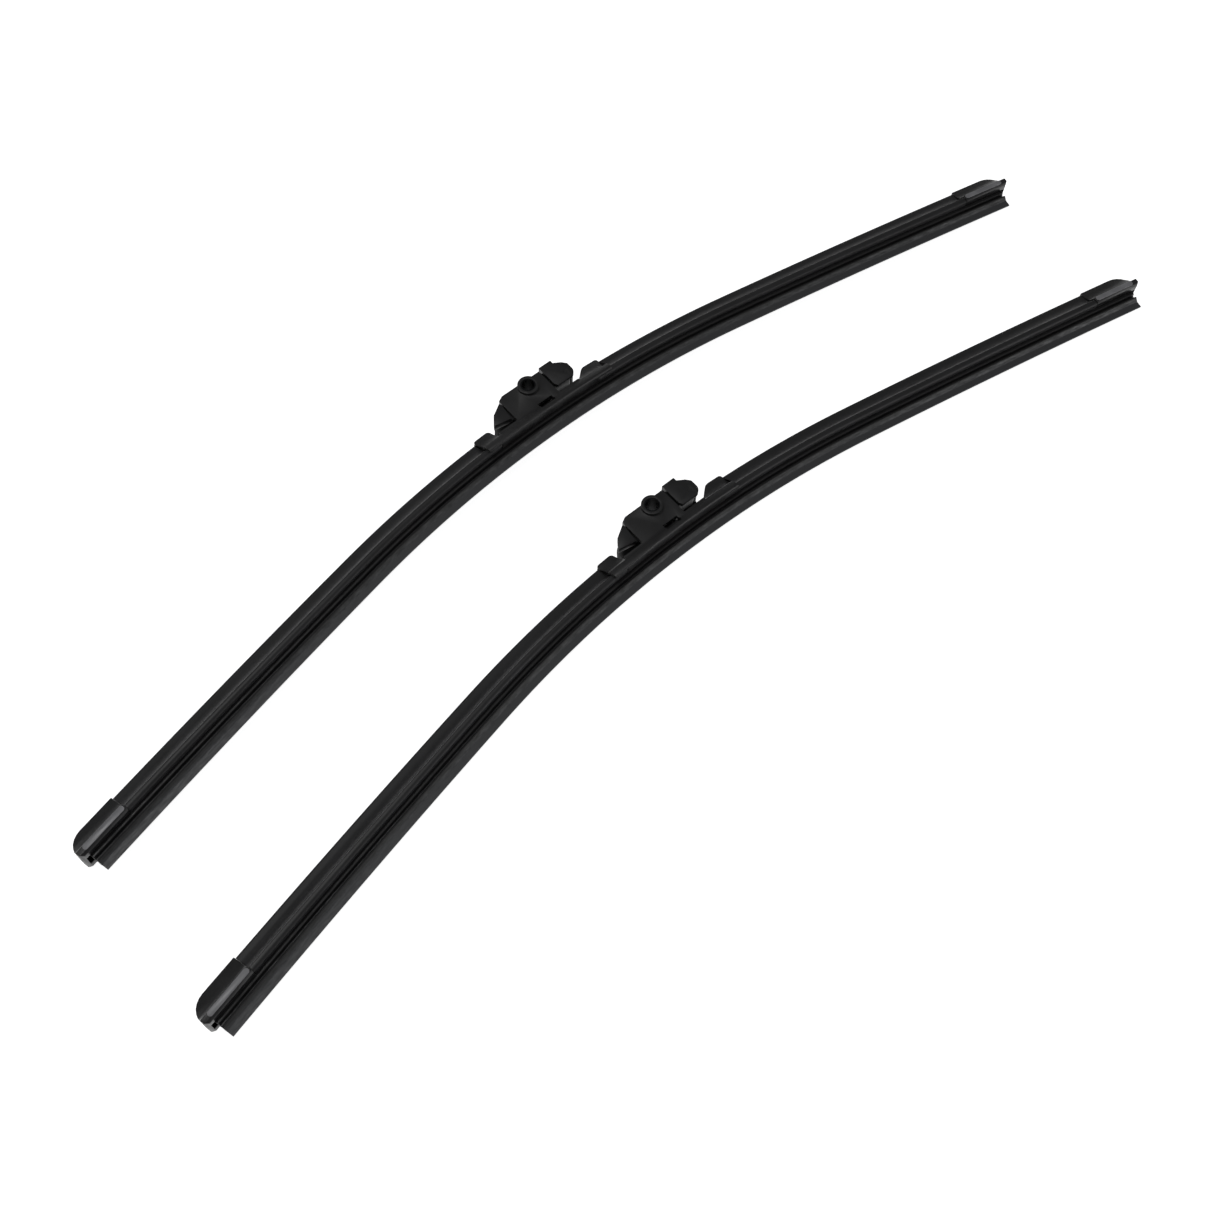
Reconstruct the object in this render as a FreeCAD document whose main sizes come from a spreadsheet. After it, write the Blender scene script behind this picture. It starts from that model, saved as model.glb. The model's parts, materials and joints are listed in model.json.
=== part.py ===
import FreeCAD, Part
import math
import os
import Sketcher

# A pair of flat windscreen wiper blades, lying on their sides next to each other.
# X runs along the blades, Y from the wiping lip towards the arm, Z across the blades.
# Each blade is bowed: a centre arc and two flatter end arcs, tangent to each other.
# Heights across a blade are counted from the tip of its lip, stations along it from
# its middle, and the two spring rails lie at rail_height.

SIZES = [
    ("blade_length", 600.0, "length of the rubber along the bow"),
    ("centre_half", 122.0, "half the length of the centre arc"),
    ("centre_radius", 643.0, "bow radius of the centre arc, at the rails"),
    ("end_radius", 5780.0, "bow radius of the end arcs, at the rails"),
    ("pair_spacing", 94.0, "from one blade to the other"),
    ("rest_half", 9.4, "half width over the connector, on which a blade lies"),

    ("lip_half", 0.4, "half thickness of the lip at its tip"),
    ("lip_root_half", 0.8, "half thickness of the lip at its root"),
    ("lip_height", 3.7, "height of the thin lip"),
    ("wing_half", 2.6, "half width of the wedge above the lip"),
    ("wing_height", 5.7, "height of the wedge's widest place"),
    ("neck_half", 0.9, "half width of the tilting neck"),
    ("neck_low", 6.4, "height of the neck's lower end"),
    ("neck_high", 7.0, "height of the neck's upper end"),
    ("body_half", 3.0, "half width of the squeegee's body and head"),
    ("body_low", 7.4, "height of the body's lower face"),
    ("groove_half", 1.2, "half width left between the rail grooves"),
    ("head_thick", 1.35, "thickness of the head above the rails"),

    ("rail_height", 10.55, "height of the middle of the rails"),
    ("rail_width", 4.3, "width of one rail"),
    ("rail_thick", 0.9, "thickness of a rail"),
    ("rail_gap", 0.05, "gap between a rail and its groove"),
    ("rail_short", 3.0, "how much shorter than the rubber a rail is, at each end"),

    ("fit_gap", 0.25, "gap round what slides into a plastic part"),
    ("side_gap", 0.3, "gap beside what turns"),
    ("overcut", 1.0, "how far a cutter reaches past what it cuts"),

    ("flange_low", 9.2, "height of the spoiler's lower edge"),
    ("flange_wide", 10.4, "height at which the flange is full width"),
    ("flange_high", 12.3, "height of the shoulder's lower edge"),
    ("flange_half", 7.0, "half width over the flange"),
    ("flange_draw", 1.0, "how far the flange draws in at its lower edge"),
    ("shoulder_half", 3.0, "half width at the foot of the fin"),
    ("shoulder_height", 14.4, "height of the foot of the fin"),
    ("fin_half", 1.5, "half width half way up the fin"),
    ("fin_middle", 17.4, "height half way up the fin"),
    ("crest_half", 0.8, "half width of the fin's crest"),
    ("crest_height", 21.4, "height of the fin's crest"),

    ("base_half", 40.0, "half the length of the connector base"),
    ("base_station", 5.5, "station of the base's middle"),
    ("base_low", 9.0, "height of the skirt's lower edge"),
    ("skirt_bevel", 0.5, "bevel along the skirt's lower edge"),
    ("skirt_high", 10.6, "height to which the skirt is full width"),
    ("cowl_wall", 0.9, "wall of the feet round the spoiler"),
    ("socket_depth", 8.0, "how far the spoiler goes into a foot"),
    ("deck_height", 14.6, "height of the deck under the adapter"),
    ("deck_left", 29.0, "from the pivot to the deck's left end"),
    ("deck_right", 23.0, "from the pivot to the deck's right end"),
    ("rise_left", 2.0, "length of the left foot's inner slope"),
    ("rise_right", 9.0, "length of the right foot's inner slope"),
    ("pivot_height", 26.9, "height of the pivot axis"),
    ("cheek_half", 7.6, "half width over the cheeks"),
    ("cheek_wall", 2.2, "thickness of a cheek"),
    ("cheek_left", 17.0, "from the pivot to a cheek's left edge"),
    ("cheek_right", 10.2, "from the pivot to a cheek's right edge"),
    ("cheek_top", 4.0, "height of the cheeks above the pivot"),
    ("cheek_corner", 3.0, "bevel of a cheek's upper left corner"),
    ("boss_radius", 5.5, "radius of the bosses round the pivot"),
    ("window_length", 9.0, "length of the windows in the skirt"),
    ("window_low", 11.7, "height of the windows' lower edge"),
    ("window_high", 15.4, "height of the windows' upper edge"),
    ("window_shift", 1.3, "from the pivot to the middle of the windows"),
    ("window_depth", 4.6, "depth of the windows"),

    ("bush_bore", 3.25, "radius of the bush's bore, for the pin of the arm"),
    ("bush_wall", 0.7, "wall of the bush"),
    ("running_gap", 0.05, "gap between the bush or a pin and what turns on it"),

    ("bridge_half", 10.0, "half the length of the bridge over the squeegee"),
    ("bridge_thick", 0.6, "thickness of the bridges"),
    ("bridge_leg", 0.9, "width of a bridge's leg"),

    ("nose_reach", 28.5, "from the pivot to the tip of the nose"),
    ("nose_drop", 7.6, "height of the nose's tip below the pivot"),
    ("nose_gap", 1.7, "gap between the wide nose and the cheeks, for its tilt"),
    ("knee_reach", 24.5, "from the pivot to the knee of the nose"),
    ("knee_drop", 2.5, "height of the nose's knee below the pivot"),
    ("adapter_low", 9.4, "height of the adapter's lower edge below the pivot"),
    ("adapter_top", 3.0, "height of the adapter's upper edge above the pivot"),
    ("adapter_wall", 1.5, "thickness of the adapter's side walls"),
    ("roof_thick", 1.6, "thickness of the adapter's roof"),
    ("roof_end", 5.4, "from the pivot to where the roof stops"),
    ("tail_half", 5.0, "half width of the tail under the cover"),
    ("hinge_reach", 20.9, "from the pivot to the cover's hinge"),
    ("hinge_drop", 4.9, "height of the cover's hinge below the pivot"),
    ("hinge_pin", 0.9, "radius of the cover's hinge pin"),
    ("tail_round", 2.2, "radius of the tail's end"),
    ("tail_top", 3.4, "height of the tail above the pivot"),
    ("cover_round", 4.0, "radius of the cover's back"),
    ("cover_top", 5.6, "height of the cover above the pivot"),
    ("cover_front", 11.5, "from the pivot to the cover's front edge"),
    ("cover_back", 19.2, "from the pivot to the back of the cover's flat top"),
    ("cover_wall", 1.2, "thickness of the cover"),
    ("cover_toe", 1.0, "bevel of the cover's lower front corner, for its swing"),
    ("cover_bend", 1.2, "half height of the slope behind the cover's hump"),
    ("cover_brow", 2.0, "height of the upright step at the back of the cover's top"),

    ("cap_length", 28.0, "length of an end cap"),
    ("cap_overhang", 3.7, "how far a cap reaches past the rubber"),
    ("cap_proud", 0.6, "how far a cap stands out from the spoiler"),
    ("cap_wall", 1.1, "wall of an end cap"),
    ("cap_end_wall", 1.6, "end wall of an end cap"),
    ("cap_round", 9.0, "radius of the round end of the crest"),
    ("cap_end_height", 13.6, "height of the upright end face"),
    ("cap_joint", 0.2, "gap between a cap and the spoiler"),
    ("clip_length", 6.0, "length of a rail clip"),
]

doc = FreeCAD.newDocument("WiperBlades")
sheet = doc.addObject("Spreadsheet::Sheet", "Sizes")
for row, (alias, number, note) in enumerate(SIZES, start=1):
    sheet.set(f"A{row}", note)
    sheet.set(f"B{row}", str(number))
    sheet.setAlias(f"B{row}", alias)
doc.recompute()


class Size:
    """A number together with the sheet formula that gives it."""

    def __init__(self, value, formula):
        self.value = value
        self.formula = formula

    def combine(self, other, sign, value):
        return Size(value, f"({self.formula} {sign} {as_size(other).formula})")

    def __add__(self, other):
        return self.combine(other, "+", self.value + as_size(other).value)

    def __sub__(self, other):
        return self.combine(other, "-", self.value - as_size(other).value)

    def __mul__(self, other):
        return self.combine(other, "*", self.value * as_size(other).value)

    def __truediv__(self, other):
        return self.combine(other, "/", self.value / as_size(other).value)

    def __radd__(self, other):
        return as_size(other) + self

    def __rsub__(self, other):
        return as_size(other) - self

    def __rmul__(self, other):
        return as_size(other) * self

    def __neg__(self):
        return as_size(0) - self

    def sin(self):
        return Size(math.sin(math.radians(self.value)), f"sin({self.formula})")

    def cos(self):
        return Size(math.cos(math.radians(self.value)), f"cos({self.formula})")


def as_size(number):
    return number if isinstance(number, Size) else Size(float(number), repr(float(number)))


class Sheet:
    """Gives each size of the spreadsheet by its alias."""

    def __getattr__(self, alias):
        return Size(float(getattr(sheet, alias)), f"Sizes.{alias}")


p = Sheet()
DEGREES = 180 / math.pi


def arc_angle(length, radius):
    """The angle in degrees of an arc of a length at the rails."""
    return length / radius * DEGREES


def station(along):
    """Where the lip is at a station, and how far the blade has turned there, in degrees."""
    side = -1 if along.value < 0 else 1
    along = side * along
    if along.value <= p.centre_half.value:
        turn = arc_angle(along, p.centre_radius)
        radius = p.centre_radius - p.rail_height
        return side * (radius * turn.sin()), radius * turn.cos() - radius, side * turn
    bend = arc_angle(p.centre_half, p.centre_radius)
    turn = bend + arc_angle(along - p.centre_half, p.end_radius)
    inner = p.centre_radius - p.rail_height
    outer = p.end_radius - p.rail_height
    x = inner * bend.sin() + outer * (turn.sin() - bend.sin())
    y = inner * bend.cos() - inner + outer * (turn.cos() - bend.cos())
    return side * x, y, side * turn


# Sketches and features

def origin_plane(body, role):
    return next(plane for plane in body.Origin.OriginFeatures if plane.Role == role)


def bind(target, prop, size):
    target.setExpression(prop, size.formula)


def new_sketch(body, role):
    sketch = body.newObject("Sketcher::SketchObject", f"{role}_sketch")
    sketch.AttachmentSupport = [(origin_plane(body, role), "")]
    sketch.MapMode = "FlatFace"
    return sketch


def side_sketch(body):
    """A sketch that shows the blade from its side: x along, y up from the lip."""
    return new_sketch(body, "XY_Plane")


def section_sketch(body):
    """A sketch across the blade: x up from the lip, y sideways."""
    return new_sketch(body, "YZ_Plane")


def hold(sketch, geometry, point, x, y):
    """Holds a point of a sketch at its place from the sketch's origin."""
    for kind, axis, size in (("DistanceX", -2, as_size(x)), ("DistanceY", -1, as_size(y))):
        if abs(size.value) < 1e-9:
            sketch.addConstraint(Sketcher.Constraint("PointOnObject", geometry, point, axis))
            continue
        rule = Sketcher.Constraint(kind, -1, 1, geometry, point, size.value)
        index = sketch.addConstraint(rule)
        bind(sketch, f"Constraints[{index}]", size)


def outline(sketch, points):
    """Draws a closed outline through points, each held by its own sizes."""
    first = sketch.GeometryCount
    count = len(points)
    corners = [FreeCAD.Vector(as_size(x).value, as_size(y).value, 0) for x, y in points]
    for i in range(count):
        sketch.addGeometry(Part.LineSegment(corners[i], corners[(i + 1) % count]))
    for i in range(count):
        following = first + (i + 1) % count
        sketch.addConstraint(Sketcher.Constraint("Coincident", first + i, 2, following, 1))
    for i, (x, y) in enumerate(points):
        hold(sketch, first + i, 1, x, y)


def circle(sketch, x, y, radius):
    middle = FreeCAD.Vector(as_size(x).value, as_size(y).value, 0)
    upward = FreeCAD.Vector(0, 0, 1)
    geometry = sketch.addGeometry(Part.Circle(middle, upward, radius.value))
    hold(sketch, geometry, 3, x, y)
    index = sketch.addConstraint(Sketcher.Constraint("Radius", geometry, radius.value))
    bind(sketch, f"Constraints[{index}]", radius)


def rectangle(sketch, left, low, right, high):
    outline(sketch, [(left, low), (right, low), (right, high), (left, high)])


def mirrored(half):
    """The whole outline of a section from the half of it on the +Z side, bottom to top."""
    right = [(height, width) for width, height in half]
    left = [(height, -width) for width, height in reversed(half)]
    return right + left


def add_feature(body, kind, sketch, sizes):
    feature = body.newObject(kind, kind.split("::")[1])
    feature.Profile = sketch
    for prop, size in sizes.items():
        setattr(feature, prop, size.value)
        bind(feature, prop, size)
    return feature


def pad(body, sketch, length, symmetric=True):
    feature = add_feature(body, "PartDesign::Pad", sketch, {"Length": length})
    feature.SideType = "Symmetric" if symmetric else "One side"
    doc.recompute()
    return feature


def cut(body, sketch, length, symmetric=True, forward=False):
    """Cuts a pocket and makes sure that it took something away."""
    before = body.Shape.Volume
    feature = add_feature(body, "PartDesign::Pocket", sketch, {"Length": length})
    feature.SideType = "Symmetric" if symmetric else "One side"
    feature.Reversed = forward
    doc.recompute()
    if body.Shape.Volume > before - 1e-3:
        raise ValueError(f"{body.Label}: a pocket cuts nothing")
    return feature


def turn_about_bow(body, kind, points, length):
    """Turns a section about the middle of the centre arc, half a length each way."""
    sketch = section_sketch(body)
    outline(sketch, points)
    axis = p.rail_height - p.centre_radius
    low = FreeCAD.Vector(axis.value, -1, 0)
    high = FreeCAD.Vector(axis.value, 1, 0)
    line = sketch.addGeometry(Part.LineSegment(low, high), True)
    hold(sketch, line, 1, axis, -1)
    hold(sketch, line, 2, axis, 1)
    doc.recompute()
    turn = arc_angle(length, p.centre_radius)
    feature = add_feature(body, kind, sketch, {"Angle": turn})
    feature.ReferenceAxis = (sketch, ["Axis0"])
    feature.Midplane = True
    doc.recompute()
    return feature


def sweep_along_bow(body, start, finish, points):
    """Sweeps a section along the bow, from one station to another."""
    stops = [start]
    for stop in (-p.centre_half, p.centre_half):
        if start.value < stop.value < finish.value:
            stops.append(stop)
    stops.append(finish)
    section = section_sketch(body)
    outline(section, points)
    spine = side_sketch(body)
    x = as_size(0)
    y = 0.0
    heading = as_size(0)
    for i in range(len(stops) - 1):
        middle = (stops[i].value + stops[i + 1].value) / 2
        bow = p.centre_radius if abs(middle) < p.centre_half.value else p.end_radius
        turned = heading + arc_angle(stops[i + 1] - stops[i], bow)
        radius = bow - p.rail_height
        reach = x + radius * (turned.sin() - heading.sin())
        before = math.radians(heading.value)
        after = math.radians(turned.value)
        centre = FreeCAD.Vector(x.value, y, 0)
        centre -= FreeCAD.Vector(math.sin(before), math.cos(before), 0) * radius.value
        ring = Part.Circle(centre, FreeCAD.Vector(0, 0, 1), radius.value)
        arc = Part.ArcOfCircle(ring, math.pi / 2 - after, math.pi / 2 - before)
        spine.addGeometry(arc)
        if i == 0:
            spine.addConstraint(Sketcher.Constraint("Coincident", 0, 2, -1, 1))
            spine.addConstraint(Sketcher.Constraint("PointOnObject", 0, 3, -2))
        else:
            spine.addConstraint(Sketcher.Constraint("Tangent", i - 1, 1, i, 2))
        index = spine.addConstraint(Sketcher.Constraint("Radius", i, radius.value))
        bind(spine, f"Constraints[{index}]", radius)
        rule = Sketcher.Constraint("DistanceX", -1, 1, i, 1, reach.value)
        bind(spine, f"Constraints[{spine.addConstraint(rule)}]", reach)
        y -= radius.value * (math.cos(before) - math.cos(after))
        x = reach
        heading = turned
    doc.recompute()
    pipe = body.newObject("PartDesign::AdditivePipe", "Sweep")
    pipe.Profile = section
    pipe.Spine = spine
    doc.recompute()
    return pipe


# Sections, each as half outlines of width and height

def rail_top():
    return p.rail_height + p.rail_thick / 2


def rail_low():
    return p.rail_height - p.rail_thick / 2


def head_top():
    return rail_top() + p.rail_gap + p.head_thick


def rail_outer():
    return p.groove_half + p.rail_gap + p.rail_width


def channel_points(low):
    """The room for the rails and the squeegee's head, open at the bottom."""
    throat = p.body_half + p.fit_gap
    slot = rail_outer() + p.fit_gap
    return [
        (throat, low),
        (throat, rail_low() - p.fit_gap),
        (slot, rail_low() - p.fit_gap),
        (slot, rail_top() + p.fit_gap),
        (throat, rail_top() + p.fit_gap),
        (throat, head_top() + p.fit_gap),
    ]


def fin_points(proud):
    """The outside of the spoiler from its lower edge to its crest, or that far outside it."""
    return [
        (p.flange_half - p.flange_draw + proud, p.flange_low),
        (p.flange_half + proud, p.flange_wide),
        (p.flange_half + proud, p.flange_high + proud),
        (p.shoulder_half + proud, p.shoulder_height + proud),
        (p.fin_half + proud, p.fin_middle + proud),
        (p.crest_half + proud, p.crest_height + proud),
    ]


# Pieces of one blade. Each is made in its own frame and put at its station.

def squeegee(body):
    points = [
        (p.lip_half, 0),
        (p.lip_root_half, p.lip_height),
        (p.wing_half, p.wing_height),
        (p.neck_half, p.neck_low),
        (p.neck_half, p.neck_high),
        (p.body_half, p.body_low),
        (p.body_half, rail_low() - p.rail_gap),
        (p.groove_half, rail_low() - p.rail_gap),
        (p.groove_half, rail_top() + p.rail_gap),
        (p.body_half, rail_top() + p.rail_gap),
        (p.body_half, head_top()),
    ]
    half = p.blade_length / 2
    sweep_along_bow(body, -half, half, mirrored(points))


def spring_rail(body, side):
    inner = side * (p.groove_half + p.rail_gap)
    outer = side * rail_outer()
    corners = [(rail_low(), inner), (rail_low(), outer), (rail_top(), outer), (rail_top(), inner)]
    half = p.blade_length / 2 - p.rail_short
    sweep_along_bow(body, -half, half, corners)


def spoiler(body, start, finish):
    outside = mirrored(fin_points(0))
    inside = mirrored(channel_points(p.flange_low))
    sweep_along_bow(body, start, finish, outside + inside[::-1])


def cowl_points():
    """The skirt and, above it, the cowl of the feet round the spoiler."""
    fin = fin_points(p.fit_gap + p.cowl_wall)
    return [
        (p.rest_half - p.skirt_bevel, p.base_low),
        (p.rest_half, p.base_low + p.skirt_bevel),
        (p.rest_half, p.skirt_high),
        (fin[2][0], fin[2][1]),
    ] + fin[3:]


def foot_end(body, side):
    """A section sketch on the end of the base, on the left at -1 and on the right at 1."""
    x, y, turn = station(p.base_half)
    sketch = section_sketch(body)
    upright = FreeCAD.Rotation(FreeCAD.Vector(0, -side, 0), turn.value)
    place = FreeCAD.Vector(y.value, 0, side * x.value)
    sketch.AttachmentOffset = FreeCAD.Placement(place, upright)
    bind(sketch, "AttachmentOffset.Rotation.Angle", turn)
    bind(sketch, "AttachmentOffset.Base.x", y)
    bind(sketch, "AttachmentOffset.Base.z", side * x)
    return sketch


def connector_base(body):
    turn_about_bow(body, "PartDesign::Revolution", mirrored(cowl_points()), 2 * p.base_half)
    above = p.pivot_height + 4 * p.boss_radius
    top = p.crest_height + p.fit_gap + p.cowl_wall
    gap = side_sketch(body)
    outline(gap, [
        (-p.deck_left, p.deck_height),
        (p.deck_right, p.deck_height),
        (p.deck_right + p.rise_right, top),
        (p.deck_right + p.rise_right, above),
        (-p.deck_left - p.rise_left, above),
        (-p.deck_left - p.rise_left, top),
    ])
    cut(body, gap, 4 * p.rest_half)
    cheeks = side_sketch(body)
    top = p.pivot_height + p.cheek_top
    outline(cheeks, [
        (-p.deck_left, p.skirt_high),
        (p.deck_right, p.skirt_high),
        (p.deck_right, p.deck_height),
        (p.cheek_right, p.deck_height),
        (p.cheek_right, top),
        (-p.cheek_left + p.cheek_corner, top),
        (-p.cheek_left, top - p.cheek_corner / 2),
        (-p.cheek_left, p.deck_height),
        (-p.deck_left, p.deck_height),
    ])
    pad(body, cheeks, 2 * p.cheek_half)
    bosses = side_sketch(body)
    circle(bosses, 0, p.pivot_height, p.boss_radius)
    pad(body, bosses, 2 * p.rest_half)
    middle = side_sketch(body)
    rectangle(middle, -p.deck_left, p.deck_height, p.deck_right, above)
    cut(body, middle, 2 * (p.cheek_half - p.cheek_wall))
    bore = side_sketch(body)
    circle(bore, 0, p.pivot_height, p.bush_bore + p.bush_wall)
    cut(body, bore, 4 * p.rest_half)
    channel = mirrored(channel_points(p.base_low - p.overcut))
    turn_about_bow(body, "PartDesign::Groove", channel, 3 * p.base_half)
    for side in (-1, 1):
        socket = foot_end(body, side)
        points = fin_points(p.fit_gap)
        points[0] = (points[0][0] + p.flange_draw, p.base_low - p.overcut)
        outline(socket, mirrored(points))
        cut(body, socket, p.socket_depth + p.fit_gap, symmetric=False, forward=side < 0)
    room = side_sketch(body)
    reach = p.bridge_half + p.fit_gap
    rectangle(room, -reach, rail_top(), reach, head_top() + p.bridge_thick + 3 * p.fit_gap)
    cut(body, room, 2 * (p.body_half + p.bridge_leg + 3 * p.fit_gap))
    left = p.window_shift - p.window_length / 2
    for side in (-1, 1):
        window = side_sketch(body)
        rectangle(window, left, p.window_low, left + p.window_length, p.window_high)
        outside = FreeCAD.Vector(0, 0, side * p.rest_half.value)
        window.AttachmentOffset = FreeCAD.Placement(outside, FreeCAD.Rotation())
        bind(window, "AttachmentOffset.Base.z", side * p.rest_half)
        cut(body, window, p.window_depth, symmetric=False, forward=side < 0)


def bridge(body, half_length):
    """A bent strip over the squeegee's head, whose legs are welded to the rails."""
    inner = p.body_half + p.fit_gap
    under = head_top() + p.fit_gap
    sketch = section_sketch(body)
    outer = inner + p.bridge_leg
    outline(sketch, [
        (rail_top(), inner),
        (rail_top(), outer),
        (under + p.bridge_thick, outer),
        (under + p.bridge_thick, -outer),
        (rail_top(), -outer),
        (rail_top(), -inner),
        (under, -inner),
        (under, inner),
    ])
    pad(body, sketch, 2 * half_length)


def pivot_bush(body):
    sketch = side_sketch(body)
    circle(sketch, 0, p.pivot_height, p.bush_bore + p.bush_wall)
    circle(sketch, 0, p.pivot_height, p.bush_bore)
    pad(body, sketch, 2 * p.rest_half)


def adapter_half():
    return p.cheek_half - p.cheek_wall - p.side_gap


def adapter(body):
    pivot = p.pivot_height
    top = pivot + p.adapter_top
    low = pivot - p.adapter_low
    back = p.cover_front - p.side_gap
    profile = side_sketch(body)
    outline(profile, [
        (-p.nose_reach, pivot - p.nose_drop),
        (-p.cheek_left, low),
        (back, low),
        (back, top),
        (-p.cheek_left + p.cheek_corner, top),
        (-p.cheek_left, top - p.cheek_corner / 2),
        (-p.knee_reach, pivot - p.knee_drop),
    ])
    pad(body, profile, 2 * adapter_half())
    nose = side_sketch(body)
    outline(nose, [
        (-p.nose_reach, pivot - p.nose_drop),
        (-p.cheek_left - p.nose_gap, low),
        (-p.cheek_left - p.side_gap, pivot),
        (-p.cheek_left - p.nose_gap / 2, pivot + p.adapter_top / 2),
        (-p.knee_reach, pivot - p.knee_drop),
    ])
    pad(body, nose, 2 * (p.cheek_half - p.side_gap))
    boss = side_sketch(body)
    circle(boss, 0, pivot, p.boss_radius)
    pad(body, boss, 2 * adapter_half())
    tail = side_sketch(body)
    hinge = pivot - p.hinge_drop
    outline(tail, [
        (back - p.overcut, hinge - p.tail_round),
        (p.hinge_reach, hinge - p.tail_round),
        (p.hinge_reach + p.tail_round, hinge),
        (p.hinge_reach, hinge + p.tail_round),
        (p.cover_back - p.cover_wall - p.tail_round, pivot + p.tail_top),
        (back - p.overcut, pivot + p.tail_top),
    ])
    pad(body, tail, 2 * p.tail_half)
    tail_end = side_sketch(body)
    circle(tail_end, p.hinge_reach, hinge, p.tail_round)
    pad(body, tail_end, 2 * p.tail_half)
    channel = side_sketch(body)
    inside = adapter_half() - p.adapter_wall
    outline(channel, [
        (-2 * p.nose_reach, low - p.overcut),
        (p.boss_radius, low - p.overcut),
        (p.boss_radius, pivot + 2 * p.boss_radius),
        (-p.roof_end, pivot + 2 * p.boss_radius),
        (-p.roof_end, top - p.roof_thick),
        (-2 * p.nose_reach, top - p.roof_thick),
    ])
    cut(body, channel, 2 * inside)
    bore = side_sketch(body)
    circle(bore, 0, pivot, p.bush_bore + p.bush_wall + p.running_gap)
    cut(body, bore, 4 * p.cheek_half)
    pin = side_sketch(body)
    circle(pin, p.hinge_reach, hinge, p.hinge_pin)
    cut(body, pin, 4 * p.cheek_half)


def locking_cover(body):
    pivot = p.pivot_height
    hinge = pivot - p.hinge_drop
    shell = side_sketch(body)
    outline(shell, [
        (p.cover_front, hinge - p.cover_round / 2),
        (p.cover_front + p.cover_toe, hinge - p.cover_round),
        (p.hinge_reach, hinge - p.cover_round),
        (p.hinge_reach, hinge),
        (p.hinge_reach + p.cover_round, hinge),
        (p.hinge_reach + p.cover_round, pivot - p.cover_bend),
        (p.hinge_reach + p.cover_round / 2, pivot + p.cover_bend),
        (p.cover_back, pivot + p.cover_top - p.cover_brow),
        (p.cover_back, pivot + p.cover_top),
        (p.cover_front, pivot + p.cover_top),
    ])
    pad(body, shell, 2 * p.cheek_half)
    back = side_sketch(body)
    circle(back, p.hinge_reach, hinge, p.cover_round)
    pad(body, back, 2 * p.cheek_half)
    room = side_sketch(body)
    inner = p.hinge_reach + p.cover_round - p.cover_wall
    outline(room, [
        (p.cover_front - p.overcut, hinge - 2 * p.cover_round),
        (p.hinge_reach + 2 * p.cover_round, hinge - 2 * p.cover_round),
        (p.hinge_reach + 2 * p.cover_round, hinge - p.cover_wall),
        (inner, hinge - p.cover_wall),
        (inner, pivot - p.cover_bend),
        (inner - p.cover_round / 2, pivot + p.cover_bend - p.cover_wall),
        (p.cover_back - p.cover_wall, pivot + p.cover_top - p.cover_brow - p.cover_wall),
        (p.cover_back - p.cover_wall, pivot + p.cover_top - p.cover_wall),
        (p.cover_front - p.overcut, pivot + p.cover_top - p.cover_wall),
    ])
    cut(body, room, 2 * (p.tail_half + p.side_gap))
    pin = side_sketch(body)
    circle(pin, p.hinge_reach, hinge, p.hinge_pin + p.running_gap)
    cut(body, pin, 4 * p.cheek_half)


def cover_hinge_pin(body):
    sketch = side_sketch(body)
    circle(sketch, p.hinge_reach, p.pivot_height - p.hinge_drop, p.hinge_pin)
    pad(body, sketch, 2 * p.cheek_half)


def end_cap(body):
    """A cap from its open end at x = 0 to its round end."""
    sketch = section_sketch(body)
    outline(sketch, mirrored(fin_points(p.cap_proud)))
    pad(body, sketch, p.cap_length, symmetric=False)
    corner = side_sketch(body)
    crest = p.crest_height + p.cap_proud
    steps = 6
    rise = crest - p.cap_end_height
    beyond = p.cap_length + p.overcut
    points = [
        (beyond, p.cap_end_height),
        (beyond, crest + p.overcut),
        (p.cap_length - p.cap_round, crest + p.overcut),
    ]
    for i in range(steps + 1):
        angle = as_size(90 - 90 * i / steps)
        points.append((p.cap_length - p.cap_round + p.cap_round * angle.cos(),
                       p.cap_end_height + rise * angle.sin()))
    outline(corner, points)
    cut(body, corner, 4 * p.flange_half)
    heel = side_sketch(body)
    outline(heel, [
        (p.cap_length - p.cap_end_wall, p.flange_low - p.overcut),
        (beyond, p.flange_low - p.overcut),
        (beyond, p.flange_low + p.cap_end_wall),
        (p.cap_length, p.flange_low + p.cap_end_wall),
        (p.cap_length - p.cap_end_wall, p.flange_low),
    ])
    cut(body, heel, 4 * p.flange_half)
    throat = p.body_half + p.fit_gap
    wide = p.flange_half + p.cap_proud - p.cap_wall
    floor = rail_low() - p.fit_gap
    room = section_sketch(body)
    outline(room, mirrored([
        (throat, p.flange_low - p.overcut),
        (throat, floor),
        (wide, floor),
        (wide, p.flange_high),
        (throat, p.shoulder_height),
        (p.fin_half + p.cap_proud - p.cap_wall, p.fin_middle),
    ]))
    cut(body, room, p.cap_length - p.cap_end_wall, symmetric=False, forward=True)


# Every piece of a blade: its name, how it is made, its station and whether it is turned round

def cap_station():
    return p.blade_length / 2 + p.cap_overhang - p.cap_length


def spoiler_start():
    return p.base_half - p.socket_depth


def spoiler_finish():
    return cap_station() - p.cap_joint


def clip_station():
    return p.blade_length / 2 - p.rail_short - p.clip_length


def put(body, along, turned=False):
    """Puts a body at a station of its blade, turned round for the left end of the blade."""
    x, y, turn = station(along)
    place = FreeCAD.Vector(x.value, y.value, 0)
    upward = FreeCAD.Vector(0, 0, 1)
    rotation = FreeCAD.Rotation(upward, -turn.value)
    if turned:
        rotation = rotation.multiply(FreeCAD.Rotation(FreeCAD.Vector(0, 1, 0), 180))
    body.Placement = FreeCAD.Placement(place, rotation)


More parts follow.
